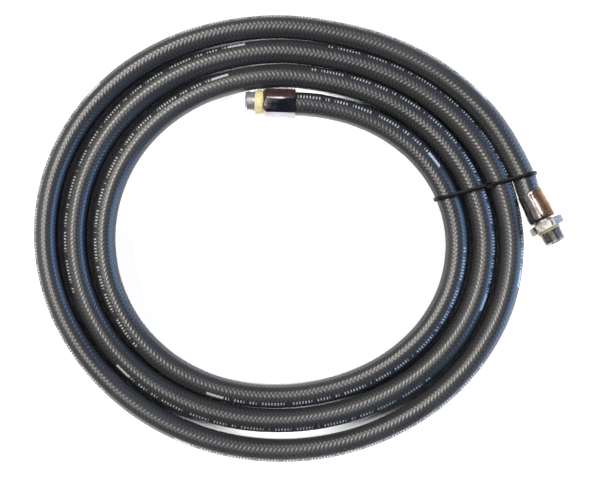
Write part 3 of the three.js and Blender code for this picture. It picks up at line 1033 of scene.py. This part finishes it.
strap_points = []
strap_faces = []
loop = strap_path()
half = strap_width / 2
bevel = 0.8
for i, (x, z, out_x, out_z) in enumerate(loop):
    thick = strap_thickness - rib_height * (i % 2)
    for across, rise in (
        (-half, 0), (half, 0), (half, thick * bevel),
        (half * bevel, thick), (-half * bevel, thick), (-half, thick * bevel),
    ):
        strap_points.append((x + out_x * rise, across, z + out_z * rise))
section = 6
for i in range(len(loop)):
    after = (i + 1) % len(loop)
    for j in range(section):
        k = (j + 1) % section
        strap_faces.append((i * section + j, i * section + k, after * section + k, after * section + j))
strap_mesh = bpy.data.meshes.new("tie")
strap_mesh.from_pydata(strap_points, [], strap_faces)
tie = bpy.data.objects.new("tie", strap_mesh)
scene.collection.objects.link(tie)
work_on(tie)
bpy.ops.object.mode_set(mode="EDIT")
bpy.ops.mesh.select_all(action="SELECT")
bpy.ops.mesh.normals_make_consistent(inside=False)
bpy.ops.object.mode_set(mode="OBJECT")


def block(x, z, length, width, height):
    """A block in the tie's upright plane."""
    bpy.ops.mesh.primitive_cube_add(size=1, location=(x, 0, z), scale=(length, width, height))
    piece = bpy.context.object
    work_on(piece)
    bpy.ops.object.transform_apply(location=True, rotation=True, scale=True)
    return piece


head_share = 0.53  # of the way across the four passes
head_x = tie_near + (tie_far - tie_near) * head_share
head_z = tie_height + tie_inside
head = block(head_x, head_z + head_height / 2, head_length, head_width, head_height)
bpy.ops.object.mode_set(mode="EDIT")
bpy.ops.mesh.select_mode(type="FACE")
bpy.ops.mesh.select_all(action="DESELECT")
head_mesh = bmesh.from_edit_mesh(head.data)
for face in head_mesh.faces:
    face.select_set(face.normal.z > 0.9)
bpy.ops.mesh.inset(thickness=0.0016, depth=0)
bpy.ops.mesh.extrude_region_move(TRANSFORM_OT_translate={"value": (0, 0, -0.0018)})
bpy.ops.object.mode_set(mode="OBJECT")
softened(head, 0.0005, 3)

tail_length = 0.0026
tail_x = head_x + head_length / 2 + tail_length / 2 - 0.0002
tail_end = block(tail_x, head_z + head_height * 0.55, tail_length, strap_width, strap_thickness)
softened(tail_end, 0.0002)
work_on(tie)
head.select_set(True)
tail_end.select_set(True)
bpy.ops.object.join()
bpy.ops.object.shade_smooth_by_angle(angle=math.radians(35))


def tie_nylon():
    material, tree, shader = new_material("tie_nylon")
    place = object_place(tree)
    cloudy = speckle(tree, place, 300)
    fine = speckle(tree, place, 2500, 2, 0.5)
    nylon = mixed(tree, cloudy, (0.004, 0.004, 0.005), (0.009, 0.009, 0.010))
    tree.links.new(nylon, shader.inputs["Base Color"])
    tree.links.new(ramp(tree, cloudy, 0.3, 0.7, 0.38, 0.5), shader.inputs["Roughness"])
    shader.inputs["Specular IOR Level"].default_value = 0.3
    bumped(tree, shader, fine, 0.00002, 0.6)
    return material


tie_place = Matrix.Translation(coil_middle) @ Matrix.Rotation(math.radians(tie_heading), 4, "Z")
fit(tie, tie_place, "hose_assembly", "cable_tie", tie_nylon())


# ---- The hose as a hose -----------------------------------------------------
# The hose's length is that of its middle line between the bottoms of the two fittings. It leaves the socket
# just inside the socket's rim.


# ---- Floor and light --------------------------------------------------------
# A plain pale floor with three lamps of its own, so that it stays white up to the object. The rubber and the
# metal each have a long lamp high on the left, a weak one low on the left and a cool window low on the
# right; the metal has one more, high at the back.

bpy.ops.mesh.primitive_plane_add(size=12, location=(0, 0, 0))
floor = bpy.context.object
floor.name = "floor"
floor_material, _, floor_shader = new_material("floor_paint")
floor_shader.inputs["Base Color"].default_value = (0.82, 0.82, 0.82, 1)
floor_shader.inputs["Roughness"].default_value = 0.85
floor_shader.inputs["Specular IOR Level"].default_value = 0.1
floor.data.materials.append(floor_material)


def lit_group(name, pieces):
    """A group of pieces that have lamps of their own."""
    group = bpy.data.collections.new(name)
    for piece in pieces:
        group.objects.link(piece)
    return group


def lamp(name, place, aim, width, height, colour, radiance, lights):
    """A rectangular lamp of the given brightness, facing its aim, for one group of pieces."""
    data = bpy.data.lights.new(name, "AREA")
    data.shape = "RECTANGLE"
    data.size = width
    data.size_y = height
    data.color = colour
    data.energy = radiance * math.pi * width * height
    light = bpy.data.objects.new(name, data)
    light.location = place
    light.rotation_euler = (Vector(aim) - Vector(place)).to_track_quat("-Z", "Y").to_euler()
    light.visible_camera = False
    light.light_linking.receiver_collection = lights
    scene.collection.objects.link(light)


on_floor = lit_group("on_floor", [floor])
on_rubber = lit_group("on_rubber", [hose_cover, braid, inner_tube, fixed_tape, worn_tape])
on_fittings = lit_group("on_fittings", [
    socket, nipple, ferrule, washer, swivel, tie,
    *(design[name] for name in ("swivel_stem", "retaining_ring", "rear_o_ring", "front_o_ring")),
])
middle = (0, 0, 0)
white = (1.0, 1.0, 1.0)
warm = (1.0, 0.96, 0.91)
soft_warm = (1.0, 0.98, 0.95)
for lights, high, low, cool, cool_colour in (
    (on_rubber, 22, 1.35, 8.5, (0.28, 0.54, 1.0)),
    (on_fittings, 3.2, 0.5, 1.3, (0.45, 0.62, 1.0)),
):
    lamp("high_lamp", (-3.1, 2.6, 8.0), (-3.1, 2.6, 0), 2.6, 9.0, warm, high, lights)
    lamp("left_fill", (-8.0, 0, 6.0), middle, 8.0, 7.0, soft_warm, low, lights)
    lamp("low_window", (8.0, 0, 2.5), middle, 9.0, 4.4, cool_colour, cool, lights)
lamp("edge_lamp", (0, 4.6, 8.0), middle, 1.6, 6.4, white, 8.0, on_fittings)
for side in (-6.0, 6.0):
    lamp("floor_lamp", (side, 0, 4.0), middle, 2.5, 2.5, white, 60, on_floor)
lamp("floor_fill", (1.6, -5.8, 0.6), (0, 0, 0.05), 4.0, 0.5, white, 850, on_floor)

world = bpy.data.worlds.new("room")
scene.world = world
world.use_nodes = True
sky = world.node_tree
room = sky.nodes["Background"]
room.inputs["Color"].default_value = (0.030, 0.036, 0.055, 1)
seen = sky.nodes.new("ShaderNodeBackground")
seen.inputs["Color"].default_value = (0.86, 0.87, 0.88, 1)
path_kind = sky.nodes.new("ShaderNodeLightPath")
either = sky.nodes.new("ShaderNodeMixShader")
sky.links.new(path_kind.outputs["Is Camera Ray"], either.inputs[0])
sky.links.new(room.outputs[0], either.inputs[1])
sky.links.new(seen.outputs[0], either.inputs[2])
sky.links.new(either.outputs[0], sky.nodes["World Output"].inputs["Surface"])
